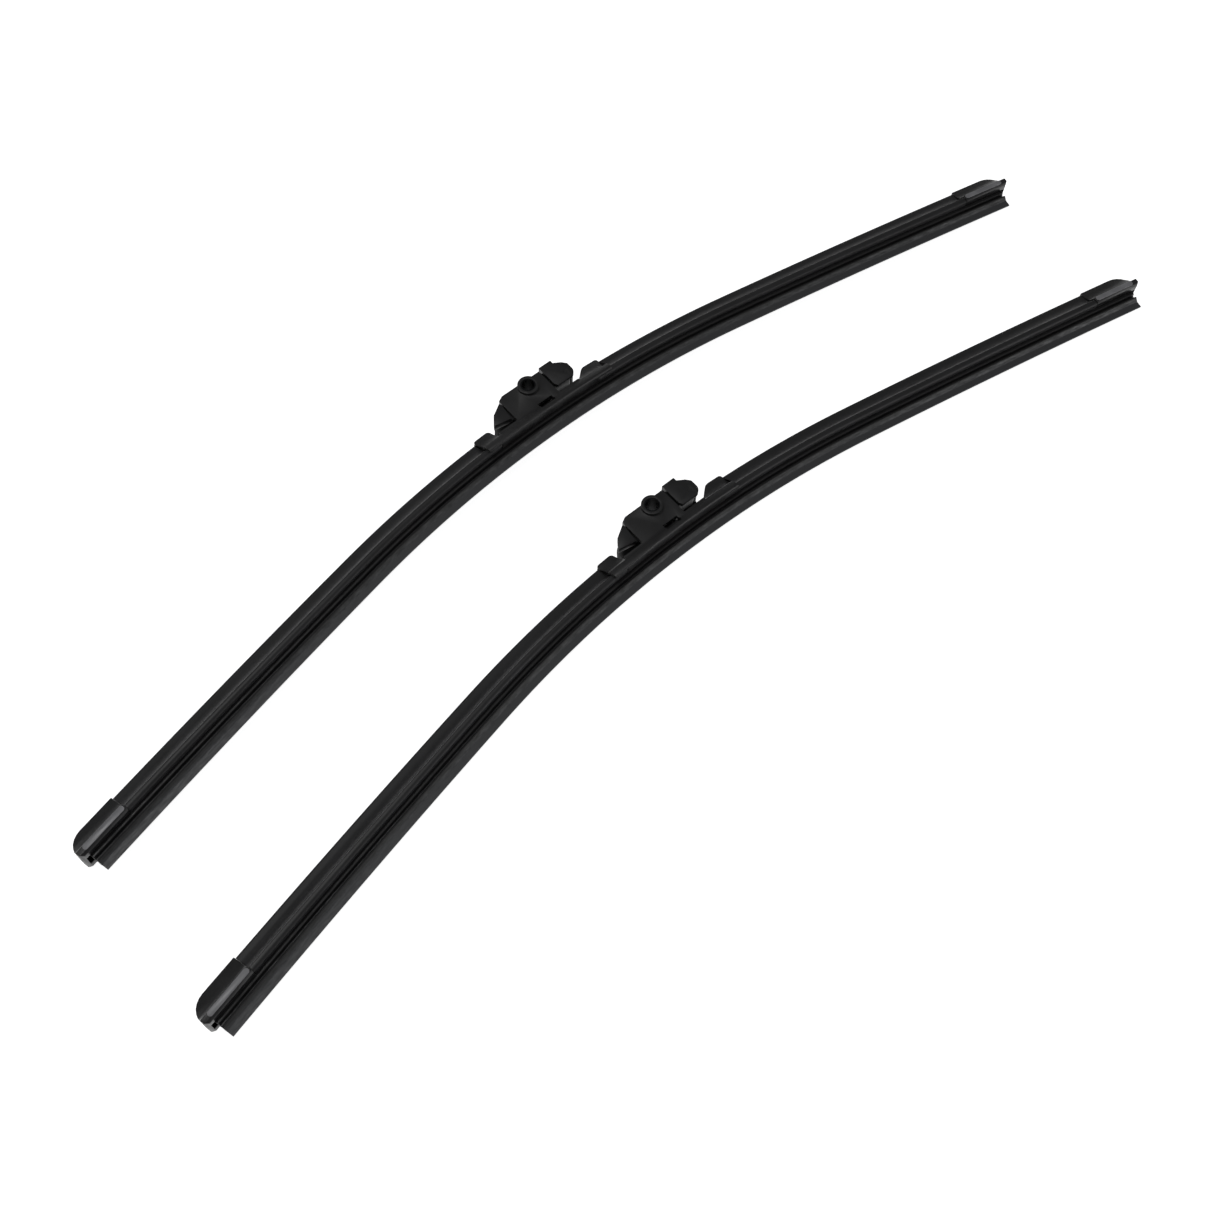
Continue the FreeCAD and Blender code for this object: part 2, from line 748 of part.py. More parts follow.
def build_blade(prefix):
    """Makes all the pieces of one blade round its own middle."""
    made = {}

    def piece(name, along, build, *details, turned=False):
        body = doc.addObject("PartDesign::Body", f"{prefix}_{name}")
        body.Label = f"{prefix}_{name}"
        build(body, *details)
        put(body, along, turned)
        made[name] = body

    half = p.blade_length / 2
    middle = p.base_station
    piece("squeegee", -half, squeegee)
    piece("spring_rail_front", -half + p.rail_short, spring_rail, 1)
    piece("spring_rail_back", -half + p.rail_short, spring_rail, -1)
    for side, shift, turned in (("left", -middle, True), ("right", middle, False)):
        start = spoiler_start() + shift
        placed = -1 * start if turned else start
        piece(f"spoiler_{side}", placed, spoiler, start, spoiler_finish(), turned=turned)
    piece("connector_base", middle, connector_base)
    piece("rail_bridge", middle, bridge, p.bridge_half)
    piece("pivot_bush", middle, pivot_bush)
    piece("adapter", middle, adapter)
    piece("locking_cover", middle, locking_cover)
    piece("cover_hinge_pin", middle, cover_hinge_pin)
    for side, sign, turned in (("left", -1, True), ("right", 1, False)):
        piece(f"end_cap_{side}", sign * cap_station(), end_cap, turned=turned)
        clip_middle = clip_station() + p.clip_length / 2
        piece(f"rail_clip_{side}", sign * clip_middle, bridge, p.clip_length / 2, turned=turned)
    return made


BLADES = (("driver", 0), ("passenger", 1))
blades = {prefix: build_blade(prefix) for prefix, _ in BLADES}
doc.recompute()

# The two blades lie side by side, with the middle of their outline over the origin
for prefix, order in BLADES:
    shift = FreeCAD.Vector(0, order * p.pair_spacing.value, p.rest_half.value)
    for body in blades[prefix].values():
        body.Placement = FreeCAD.Placement(shift, FreeCAD.Rotation()).multiply(body.Placement)
doc.recompute()
extent = FreeCAD.BoundBox()
for pieces in blades.values():
    for body in pieces.values():
        extent.add(body.Shape.optimalBoundingBox(False))
centring = FreeCAD.Vector(-extent.Center.x, -extent.Center.y, 0)
for pieces in blades.values():
    for body in pieces.values():
        body.Placement = FreeCAD.Placement(centring, FreeCAD.Rotation()).multiply(body.Placement)
doc.recompute()

# Nothing is written unless every object and every shape is sound
for item in doc.Objects:
    if "Invalid" in item.State or "Error" in item.State:
        raise ValueError(f"{item.Name} did not recompute: {item.State}")
nodes = [body for pieces in blades.values() for body in pieces.values()]
for body in nodes:
    if body.Shape.isNull() or not body.Shape.isValid():
        raise ValueError(f"{body.Label} has no valid shape")
    if len(body.Shape.Solids) != 1:
        raise ValueError(f"{body.Label} has {len(body.Shape.Solids)} solids")

os.makedirs("parts", exist_ok=True)
for body in nodes:
    body.Shape.exportStep(f"parts/{body.Label}.step")
    box = body.Shape.BoundBox
    print(f"{body.Label}: {box.XLength:.1f} x {box.YLength:.1f} x {box.ZLength:.1f} mm")
print(f"{len(nodes)} nodes, {extent.XLength:.1f} x {extent.YLength:.1f} x {extent.ZLength:.1f} mm")
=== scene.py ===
import bmesh
import bpy
import json
import math
from mathutils import Matrix, Vector

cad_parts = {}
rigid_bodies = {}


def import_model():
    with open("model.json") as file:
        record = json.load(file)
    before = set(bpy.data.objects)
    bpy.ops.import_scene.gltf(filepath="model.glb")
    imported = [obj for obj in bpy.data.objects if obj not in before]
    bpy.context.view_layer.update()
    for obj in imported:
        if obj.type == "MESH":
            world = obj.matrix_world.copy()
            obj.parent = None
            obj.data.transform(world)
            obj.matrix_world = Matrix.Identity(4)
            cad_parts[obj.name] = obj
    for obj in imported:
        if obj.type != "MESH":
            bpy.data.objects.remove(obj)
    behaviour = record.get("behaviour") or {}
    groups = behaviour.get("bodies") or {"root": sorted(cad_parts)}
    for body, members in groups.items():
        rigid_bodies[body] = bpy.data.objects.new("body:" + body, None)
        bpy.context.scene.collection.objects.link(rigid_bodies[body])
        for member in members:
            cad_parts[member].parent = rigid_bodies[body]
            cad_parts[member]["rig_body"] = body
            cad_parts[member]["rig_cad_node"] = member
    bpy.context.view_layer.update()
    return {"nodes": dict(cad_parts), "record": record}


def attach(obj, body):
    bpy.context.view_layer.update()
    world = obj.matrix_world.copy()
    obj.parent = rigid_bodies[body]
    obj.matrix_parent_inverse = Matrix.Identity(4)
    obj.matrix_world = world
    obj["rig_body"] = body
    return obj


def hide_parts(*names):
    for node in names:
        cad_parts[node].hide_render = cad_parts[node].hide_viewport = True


# A matched pair of flat windscreen wiper blades lying on their sides.
# Pieces that follow a blade are made straight, with X along the blade, Y towards
# the arm and Z across it, and are bent to the bow of the blade at the end.

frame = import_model()
mm = 0.001
prefixes = ("driver", "passenger")
print("frame loaded")


# Small helpers for working in edit mode

def selectOnly(piece=None):
    if bpy.context.object and bpy.context.object.mode != "OBJECT":
        bpy.ops.object.mode_set(mode="OBJECT")
    bpy.ops.object.select_all(action="DESELECT")
    if piece:
        piece.select_set(True)
        bpy.context.view_layer.objects.active = piece


def pick(piece, kind, rule):   # selects the vertices, edges or faces for which the rule holds
    bpy.ops.mesh.select_mode(type=kind)
    bpy.ops.mesh.select_all(action="DESELECT")
    shape = bmesh.from_edit_mesh(piece.data)
    shape.normal_update()
    for part in {"VERT": shape.verts, "EDGE": shape.edges, "FACE": shape.faces}[kind]:
        if rule(part):
            part.select_set(True)
    shape.select_flush_mode()
    bmesh.update_edit_mesh(piece.data)


def middleOf(edge):
    return (edge.verts[0].co + edge.verts[1].co) / 2


def runOf(edge):
    return edge.verts[1].co - edge.verts[0].co


def duplicateOf(piece, name):
    selectOnly(piece)
    bpy.ops.object.duplicate()
    made = bpy.context.object
    made.name = name
    made.data.name = name
    return made


def joined(pieces):   # all of them as the first one
    selectOnly(pieces[0])
    for piece in pieces[1:]:
        piece.select_set(True)
    bpy.ops.object.join()
    return pieces[0]


def smoothSides(piece, angle):
    selectOnly(piece)
    bpy.ops.object.shade_smooth_by_angle(angle=math.radians(angle))


# Materials

def linearColour(code):   # an sRGB hex value as linear red, green, blue and alpha
    parts = [int(code[i:i + 2], 16) / 255 for i in (0, 2, 4)]
    return tuple(c / 12.92 if c <= 0.04045 else ((c + 0.055) / 1.055) ** 2.4 for c in parts) + (1,)


def addNode(tree, kind, settings=None, inputs=None, links=None):
    node = tree.nodes.new(kind)
    for key, value in (settings or {}).items():
        setattr(node, key, value)
    for key, value in (inputs or {}).items():
        node.inputs[key].default_value = value
    for key, source in (links or {}).items():
        tree.links.new(source, node.inputs[key])
    return node


def startMaterial(name, inputs):
    made = bpy.data.materials.new(name)
    made.use_nodes = True
    shader = made.node_tree.nodes["Principled BSDF"]
    for key, value in inputs.items():
        shader.inputs[key].default_value = value
    made.diffuse_color = shader.inputs["Base Color"].default_value
    return made, made.node_tree, shader


def setRamp(node, stops):   # colours or greys at their places along a ramp
    ramp = node.color_ramp
    ramp.elements[0].position = stops[0][0]
    ramp.elements[0].color = stops[0][1]
    ramp.elements[1].position = stops[-1][0]
    ramp.elements[1].color = stops[-1][1]
    for place, colour in stops[1:-1]:
        ramp.elements.new(place).color = colour


extrusion = {
    "dark": "131314",
    "worn": "1d1d1f",
    "dieLine": 0.45,      # mm between the fine lines that the die leaves
    "dieRun": 112.5,      # mm along the blade before a line changes
    "bloom": 22.0,        # mm across the soft patches of bloom
    "roughLow": 0.36,
    "roughHigh": 0.52,
    "lineDepth": 0.02,    # mm
}


def makeExtrudedRubber():
    # EPDM rubber, extruded: satin black skin with faint lines along the run of the die
    made, tree, shader = startMaterial("extrudedRubber", {
        "Base Color": linearColour(extrusion["dark"]), "IOR": 1.5})
    along = addNode(tree, "ShaderNodeUVMap", {"uv_map": "along"})
    lineScale = (1 / (extrusion["dieRun"] * mm), 1 / (extrusion["dieLine"] * mm), 1)
    stretched = addNode(tree, "ShaderNodeMapping", None,
                        {"Scale": lineScale}, {"Vector": along.outputs[0]})
    lines = addNode(tree, "ShaderNodeTexNoise", {"noise_dimensions": "2D"},
                    {"Scale": 1.0, "Detail": 2.0, "Roughness": 0.6},
                    {"Vector": stretched.outputs[0]})
    patchScale = 1 / (extrusion["bloom"] * mm)
    where = addNode(tree, "ShaderNodeTexCoord")
    patches = addNode(tree, "ShaderNodeTexNoise", None,
                      {"Scale": patchScale, "Detail": 4.0, "Roughness": 0.55},
                      {"Vector": where.outputs["Object"]})
    tint = addNode(tree, "ShaderNodeValToRGB", None, None, {"Fac": patches.outputs["Fac"]})
    setRamp(tint, [(0.35, linearColour(extrusion["dark"])), (0.7, linearColour(extrusion["worn"]))])
    tree.links.new(tint.outputs["Color"], shader.inputs["Base Color"])
    rough = addNode(tree, "ShaderNodeMapRange", None,
                    {"From Min": 0.3, "From Max": 0.7, "To Min": extrusion["roughLow"],
                     "To Max": extrusion["roughHigh"]}, {"Value": lines.outputs["Fac"]})
    tree.links.new(rough.outputs["Result"], shader.inputs["Roughness"])
    relief = addNode(tree, "ShaderNodeBump", None,
                     {"Strength": 0.5, "Distance": extrusion["lineDepth"] * mm},
                     {"Height": lines.outputs["Fac"]})
    tree.links.new(relief.outputs["Normal"], shader.inputs["Normal"])
    return made


graphite = {
    "body": "0e0e0f",
    "lip": "343537",       # the lip's graphite coat, made paler to paint in the sheen on the lip band
    "lipTop": 4.6,         # mm from the tip up to which the pale coat and the painted sheen reach
    "fade": 1.2,           # mm over which the pale coat and the painted sheen fade, and how far their edge wanders
    "grain": 0.7,          # mm, drawn coarser than real graphite so that it shows
    "grainRun": 5.8,       # mm, the length of the grain along the blade
    "grainDepth": 0.02,    # mm
    "roughLow": 0.4,
    "roughHigh": 0.6,
}


def makeGraphiteRubber():
    # Natural rubber, moulded, cut and graphite coated: dry dark grey; the lip band is paler, partly
    # for its graphite coat and partly as painted sheen
    made, tree, shader = startMaterial("graphiteRubber", {
        "Base Color": linearColour(graphite["body"]), "IOR": 1.5, "Roughness": 0.5})
    along = addNode(tree, "ShaderNodeUVMap", {"uv_map": "across"})
    parts = addNode(tree, "ShaderNodeSeparateXYZ", None, None, {"Vector": along.outputs[0]})
    grainScale = (1 / (graphite["grainRun"] * mm), 1 / (graphite["grain"] * mm), 1)
    spread = addNode(tree, "ShaderNodeMapping", None,
                     {"Scale": grainScale}, {"Vector": along.outputs[0]})
    grain = addNode(tree, "ShaderNodeTexNoise", {"noise_dimensions": "2D"},
                    {"Scale": 1.0, "Detail": 3.0, "Roughness": 0.65}, {"Vector": spread.outputs[0]})
    wander = addNode(tree, "ShaderNodeMath", {"operation": "MULTIPLY_ADD"},
                     {1: graphite["fade"] * mm, 2: -graphite["fade"] / 2 * mm},
                     {0: grain.outputs["Fac"]})
    height = addNode(tree, "ShaderNodeMath", {"operation": "ADD"}, None,
                     {0: parts.outputs["Y"], 1: wander.outputs[0]})
    # mask of the pale lip band: its graphite coat plus the sheen painted onto it
    coat = addNode(tree, "ShaderNodeMapRange", None,
                   {"From Min": (graphite["lipTop"] - graphite["fade"]) * mm,
                    "From Max": graphite["lipTop"] * mm, "To Min": 1.0, "To Max": 0.0},
                   {"Value": height.outputs[0]})
    tint = addNode(tree, "ShaderNodeValToRGB", None, None, {"Fac": coat.outputs["Result"]})
    setRamp(tint, [(0.0, linearColour(graphite["body"])), (1.0, linearColour(graphite["lip"]))])
    tree.links.new(tint.outputs["Color"], shader.inputs["Base Color"])
    rough = addNode(tree, "ShaderNodeMapRange", None,
                    {"From Min": 0.3, "From Max": 0.7, "To Min": graphite["roughLow"],
                     "To Max": graphite["roughHigh"]}, {"Value": grain.outputs["Fac"]})
    tree.links.new(rough.outputs["Result"], shader.inputs["Roughness"])
    relief = addNode(tree, "ShaderNodeBump", None,
                     {"Strength": 0.4, "Distance": graphite["grainDepth"] * mm},
                     {"Height": grain.outputs["Fac"]})
    tree.links.new(relief.outputs["Normal"], shader.inputs["Normal"])
    return made


flowMark = 9.0   # mm across the soft marks that the melt leaves as it fills a mould


def makeMouldedPlastic(name, dark, light, grainSize, depth, roughLow, roughHigh):
    # Glass filled PBT, injection moulded against spark eroded steel: even fine grain, dull
    # sheen, and faint flow marks. Grain size and depth are in mm.
    made, tree, shader = startMaterial(name, {"Base Color": linearColour(dark), "IOR": 1.5})
    where = addNode(tree, "ShaderNodeTexCoord")
    grain = addNode(tree, "ShaderNodeTexNoise", None,
                    {"Scale": 1 / (grainSize * mm), "Detail": 3.0, "Roughness": 0.6},
                    {"Vector": where.outputs["Object"]})
    pits = addNode(tree, "ShaderNodeTexVoronoi", {"feature": "F1"},
                   {"Scale": 0.7 / (grainSize * mm)}, {"Vector": where.outputs["Object"]})
    flow = addNode(tree, "ShaderNodeTexNoise", None,
                   {"Scale": 1 / (flowMark * mm), "Detail": 2.0},
                   {"Vector": where.outputs["Object"]})
    tint = addNode(tree, "ShaderNodeValToRGB", None, None, {"Fac": flow.outputs["Fac"]})
    setRamp(tint, [(0.3, linearColour(dark)), (0.75, linearColour(light))])
    tree.links.new(tint.outputs["Color"], shader.inputs["Base Color"])
    rough = addNode(tree, "ShaderNodeMapRange", None,
                    {"From Min": 0.3, "From Max": 0.7, "To Min": roughLow, "To Max": roughHigh},
                    {"Value": flow.outputs["Fac"]})
    tree.links.new(rough.outputs["Result"], shader.inputs["Roughness"])
    both = addNode(tree, "ShaderNodeMath", {"operation": "MULTIPLY"}, None,
                   {0: grain.outputs["Fac"], 1: pits.outputs["Distance"]})
    relief = addNode(tree, "ShaderNodeBump", None, {"Strength": 0.6, "Distance": depth * mm},
                     {"Height": both.outputs[0]})
    tree.links.new(relief.outputs["Normal"], shader.inputs["Normal"])
    return made


steel = {
    "coat": "101011",
    "rollLine": 0.45,      # mm between rolling lines
    "rollRun": 33.0,       # mm along a rolling line
    "phosphate": "232426",
    "toolRing": 0.2,       # mm between turned rings
    "toolPatch": 3.3,      # mm across the surface before a ring changes
    "depth": 0.01,         # mm
}


def makeCoatedSteel():
    # Spring steel strip, black e-coat: thin smooth paint over faint rolling lines
    made, tree, shader = startMaterial("coatedSpringSteel", {
        "Base Color": linearColour(steel["coat"]), "IOR": 1.52,
        "Coat Weight": 0.2, "Coat Roughness": 0.25})
    where = addNode(tree, "ShaderNodeTexCoord")
    lineScale = 1 / (steel["rollLine"] * mm)
    rolled = addNode(tree, "ShaderNodeMapping", None,
                     {"Scale": (1 / (steel["rollRun"] * mm), lineScale, lineScale)},
                     {"Vector": where.outputs["Object"]})
    lines = addNode(tree, "ShaderNodeTexNoise", None, {"Scale": 1.0, "Detail": 3.0},
                    {"Vector": rolled.outputs[0]})
    rough = addNode(tree, "ShaderNodeMapRange", None,
                    {"From Min": 0.3, "From Max": 0.7, "To Min": 0.3, "To Max": 0.48},
                    {"Value": lines.outputs["Fac"]})
    tree.links.new(rough.outputs["Result"], shader.inputs["Roughness"])
    relief = addNode(tree, "ShaderNodeBump", None,
                     {"Strength": 0.3, "Distance": steel["depth"] * mm},
                     {"Height": lines.outputs["Fac"]})
    tree.links.new(relief.outputs["Normal"], shader.inputs["Normal"])
    return made


def makeTurnedSteel():
    # Low carbon steel, turned and phosphated: dark grey metal with fine tool rings
    made, tree, shader = startMaterial("phosphatedSteel", {
        "Base Color": linearColour(steel["phosphate"]), "Metallic": 1.0, "Roughness": 0.4})
    where = addNode(tree, "ShaderNodeTexCoord")
    patchScale = 1 / (steel["toolPatch"] * mm)
    ringed = addNode(tree, "ShaderNodeMapping", None,
                     {"Scale": (patchScale, patchScale, 1 / (steel["toolRing"] * mm))},
                     {"Vector": where.outputs["Object"]})
    rings = addNode(tree, "ShaderNodeTexNoise", None, {"Scale": 1.0, "Detail": 2.0},
                    {"Vector": ringed.outputs[0]})
    rough = addNode(tree, "ShaderNodeMapRange", None,
                    {"From Min": 0.3, "From Max": 0.7, "To Min": 0.32, "To Max": 0.5},
                    {"Value": rings.outputs["Fac"]})
    tree.links.new(rough.outputs["Result"], shader.inputs["Roughness"])
    relief = addNode(tree, "ShaderNodeBump", None,
                     {"Strength": 0.4, "Distance": steel["depth"] * mm},
                     {"Height": rings.outputs["Fac"]})
    tree.links.new(relief.outputs["Normal"], shader.inputs["Normal"])
    return made


extrudedRubber = makeExtrudedRubber()
graphiteRubber = makeGraphiteRubber()
basePlastic = makeMouldedPlastic(
    "mouldedBasePlastic", "121213", "1a1a1b", 0.6, 0.05, 0.4, 0.55)
adapterPlastic = makeMouldedPlastic(
    "mouldedAdapterPlastic", "101011", "18181a", 0.5, 0.04, 0.34, 0.5)
capPlastic = makeMouldedPlastic(
    "mouldedCapPlastic", "111112", "19191a", 0.5, 0.03, 0.3, 0.42)
paintedReflectionPad = makeMouldedPlastic(   # pale grey paints the reflection that this grained strip catches
    "paintedReflectionPadPlastic", "6e6e71", "88888b", 0.7, 0.06, 0.3, 0.4)
coatedSteel = makeCoatedSteel()
turnedSteel = makeTurnedSteel()
print("materials made")


# The bow of a blade: a centre arc and two flatter end arcs, at the height of the rails

bow = {
    "centreHalf": 122 * mm,
    "centreRadius": 643 * mm,
    "endRadius": 5780 * mm,
    "railHeight": 10.55 * mm,   # from the tip of the lip
    "pinHeight": 26.9 * mm,
    "pinStation": 5.5 * mm,
    "reach": 320 * mm,
    "step": 2 * mm,
}


def bowPoint(station):
    side = 1 if station >= 0 else -1
    along = abs(station)
    turn = min(along, bow["centreHalf"]) / bow["centreRadius"]
    x = bow["centreRadius"] * math.sin(turn)
    y = -bow["centreRadius"] * (1 - math.cos(turn))
    if along > bow["centreHalf"]:
        after = turn + (along - bow["centreHalf"]) / bow["endRadius"]
        x += bow["endRadius"] * (math.sin(after) - math.sin(turn))
        y -= bow["endRadius"] * (math.cos(turn) - math.cos(after))
        turn = after
    return side * x, y, side * turn


pins = {}
bows = {}
mounts = {mount["name"]: mount for mount in frame["record"]["mounts"]}
for prefix in prefixes:
    pin = Vector(mounts[f"{prefix}_arm_pin_bore"]["pos_m"])
    pins[prefix] = pin
    pinTurn = bow["pinStation"] / bow["centreRadius"]
    above = bow["centreRadius"] - bow["railHeight"] + bow["pinHeight"]
    railY = pin.y - above * math.cos(pinTurn) + bow["centreRadius"]
    line = bpy.data.curves.new(f"{prefix}Bow", "CURVE")
    line.dimensions = "3D"
    line.twist_mode = "Z_UP"
    count = round(2 * bow["reach"] / bow["step"])
    spline = line.splines.new("POLY")
    spline.points.add(count)
    for i, point in enumerate(spline.points):
        x, y, turn = bowPoint(-bow["reach"] + i * bow["step"])
        point.co = (x, railY + y, pin.z, 1)
    bows[prefix] = bpy.data.objects.new(f"{prefix}Bow", line)
    bpy.context.scene.collection.objects.link(bows[prefix])


def bendToBow(piece, prefix):
    bend = piece.modifiers.new("bow", "CURVE")
    bend.object = bows[prefix]
    bend.deform_axis = "POS_X"
    selectOnly(piece)
    bpy.ops.object.modifier_apply(modifier="bow")


def bothSides(half):   # the whole outline of a section, from the half on one side
    return list(half) + [(height, -width) for height, width in reversed(half) if width > 1e-6]


def sweepSection(name, outline, start, finish, cuts):
    # The outline is drawn point by point, closed, pulled along the blade and cut across.
    # Its heights are counted from the tip of the lip, in mm.
    spots = [(height * mm - bow["railHeight"], width * mm) for height, width in outline]
    selectOnly()
    bpy.ops.mesh.primitive_plane_add(size=mm, location=(start + bow["reach"], *spots[0]))
    piece = bpy.context.object
    piece.name = name
    piece.data.name = name
    bpy.ops.object.transform_apply(location=True, rotation=True, scale=True)
    bpy.ops.object.mode_set(mode="EDIT")
    bpy.ops.mesh.select_mode(type="VERT")
    bpy.ops.mesh.select_all(action="SELECT")
    bpy.ops.mesh.merge(type="CENTER")
    for here, following in zip(spots, spots[1:]):
        stride = (0, following[0] - here[0], following[1] - here[1])
        bpy.ops.mesh.extrude_region_move(TRANSFORM_OT_translate={"value": stride})
    bpy.ops.mesh.select_all(action="SELECT")
    bpy.ops.mesh.edge_face_add()
    length = finish - start
    bpy.ops.mesh.extrude_region_move(TRANSFORM_OT_translate={"value": (length, 0, 0)})
    pick(piece, "EDGE", lambda edge: abs(runOf(edge).x) > length / 2)
    bpy.ops.mesh.subdivide(number_cuts=cuts)
    bpy.ops.mesh.select_all(action="SELECT")
    bpy.ops.mesh.normals_make_consistent(inside=False)
    bpy.ops.object.mode_set(mode="OBJECT")
    return piece


def keepMap(piece, name, rule):   # a map in metres that still follows the blade once it is bent
    layer = piece.data.uv_layers.new(name=name)
    for corner in piece.data.loops:
        layer.data[corner.index].uv = rule(piece.data.vertices[corner.vertex_index].co)


# The squeegee: lip, wedge, tilting neck, body and head in one extrusion

squeegee = {
    "half": 300 * mm,
    "cuts": 99,
    "section": [   # height and half width in mm, from the tip of the lip to the head
        (0.0, 0.3), (0.1, 0.38), (1.4, 0.48), (2.5, 0.58), (3.4, 0.68), (3.7, 0.95),
        (4.75, 2.1), (5.05, 2.45), (5.35, 2.58), (5.65, 2.5), (5.85, 2.2), (6.2, 1.15),
        (6.45, 0.9), (6.95, 0.9), (7.2, 1.15), (7.38, 2.7), (7.5, 2.92), (7.7, 3.0),
        (8.3, 3.0), (8.42, 2.72), (8.62, 2.72), (8.75, 3.0), (10.05, 3.0), (10.05, 1.2),
        (11.05, 1.2), (11.05, 3.0), (12.2, 3.0), (12.4, 2.8),
    ],
}

straightSqueegee = sweepSection("straightSqueegee", bothSides(squeegee["section"]),
                                -squeegee["half"], squeegee["half"], squeegee["cuts"])
keepMap(straightSqueegee, "across", lambda at: (at.x, at.y + bow["railHeight"]))
for prefix in prefixes:
    piece = duplicateOf(straightSqueegee, f"{prefix}_wiping_rubber")
    bendToBow(piece, prefix)
    smoothSides(piece, 28)
    piece.data.materials.append(graphiteRubber)
    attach(piece, f"{prefix}_blade")
    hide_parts(f"{prefix}_squeegee")
bpy.data.objects.remove(straightSqueegee)
print("squeegees made")


# The spoilers: soft extrusions with a rounded flange, a hollow flank and a thin crest

spoiler = {
    "inner": 32 * mm,          # from the middle of the base, inside its foot
    "outer": 275.5 * mm,       # where the end cap begins
    "cuts": 95,
    "outside": [
        (9.2, 5.95), (9.3, 6.25), (9.7, 6.6), (10.4, 6.95), (11.0, 7.0), (11.7, 6.97),
        (12.1, 6.85), (12.32, 6.6), (12.5, 6.25), (12.75, 5.6), (13.05, 4.9), (13.4, 4.25),
        (13.85, 3.6), (14.4, 3.0), (15.1, 2.55), (15.9, 2.15), (16.7, 1.82), (17.5, 1.5),
        (18.5, 1.3), (19.5, 1.13), (20.4, 0.97), (21.0, 0.84), (21.25, 0.62), (21.38, 0.3),
    ],
    "inside": [
        (9.2, 3.25), (9.85, 3.25), (9.85, 5.8), (11.25, 5.8), (11.25, 3.25), (12.65, 3.25),
    ],
}

# One closed outline: up the outside, over the crest, down again, and round the channel
spoilerOutline = bothSides(spoiler["outside"]) + bothSides(spoiler["inside"])[::-1]
for side, sign in (("left", -1), ("right", 1)):
    inner = spoiler["inner"] * sign + bow["pinStation"]
    ends = sorted((inner, sign * spoiler["outer"]))
    straight = sweepSection("straightSpoiler", spoilerOutline, ends[0], ends[1], spoiler["cuts"])
    keepMap(straight, "along", lambda at: (at.x, at.y + 0.4 * at.z))
    for prefix in prefixes:
        piece = duplicateOf(straight, f"{prefix}_spoiler_fin_{side}")
        bendToBow(piece, prefix)
        smoothSides(piece, 30)
        piece.data.materials.append(extrudedRubber)
        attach(piece, f"{prefix}_blade")
        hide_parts(f"{prefix}_spoiler_{side}")
    bpy.data.objects.remove(straight)
print("spoilers made")


# Moulded pieces: the frame's own shapes, merged, with their edges rounded

def copyMerged(node, name):
    piece = duplicateOf(frame["nodes"][node], name)
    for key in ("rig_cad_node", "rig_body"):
        if key in piece:
            del piece[key]
    piece.parent = None
    piece.data.materials.clear()
    bpy.ops.object.mode_set(mode="EDIT")
    bpy.ops.mesh.select_all(action="SELECT")
    bpy.ops.mesh.remove_doubles(threshold=0.004 * mm)
    bpy.ops.mesh.dissolve_limited(angle_limit=math.radians(1.0))
    bpy.ops.object.mode_set(mode="OBJECT")
    return piece


def roundEdges(piece, width, segments=2, sharp=32):
    soften = piece.modifiers.new("edges", "BEVEL")
    soften.width = width
    soften.segments = segments
    soften.limit_method = "ANGLE"
    soften.angle_limit = math.radians(sharp)
    soften.use_clamp_overlap = True
    soften.harden_normals = False
    selectOnly(piece)
    bpy.ops.object.modifier_apply(modifier="edges")


def finishMoulding(piece, body, node, material):
    smoothSides(piece, 34)
    piece.data.materials.append(material)
    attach(piece, body)
    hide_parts(node)


moulding = {
    "baseEdge": 0.22 * mm,
    "footRound": 1.6 * mm,
    "footTop": 20.5 * mm,      # height above which the corners of the feet are rounded
    "footNear": 26 * mm,       # from the pin to where the feet begin
    "footWidth": 2 * mm,       # shorter edges there are left alone
    "adapterEdge": 0.25 * mm,
    "coverEdge": 0.35 * mm,
    "gripFirst": 12.4 * mm,    # from the pin to the first grip groove of the cover
    "gripPitch": 1.5 * mm,
    "gripWidth": 0.7 * mm,
    "gripCount": 4,
    "gripDepth": 0.35 * mm,
    "gripRim": 6.4 * mm,       # from the middle of the cover to the ends of the grooves
    "gripDraft": 0.12 * mm,    # how far the sides of a groove lean in
    "gripTop": 0.6 * mm,       # the grooves are cut in faces this close to the top
}


def heightOver(prefix, at):   # height of a place above the tip of the lip, over the centre arc
    above = bow["centreRadius"] - bow["railHeight"]
    centreY = pins[prefix].y - math.sqrt((above + bow["pinHeight"]) ** 2 - pins[prefix].x ** 2)
    return math.hypot(at.x, at.y - centreY) - above


def roundFeet(base, prefix):   # the crests of the two feet
    selectOnly(base)
    bpy.ops.object.mode_set(mode="EDIT")
    pick(base, "EDGE", lambda edge:
         abs(runOf(edge).z) > 0.95 * runOf(edge).length > moulding["footWidth"]
         and heightOver(prefix, middleOf(edge)) > moulding["footTop"]
         and abs(middleOf(edge).x - pins[prefix].x) > moulding["footNear"])
    bpy.ops.mesh.bevel(offset=moulding["footRound"], segments=5, affect="EDGES")
    bpy.ops.object.mode_set(mode="OBJECT")


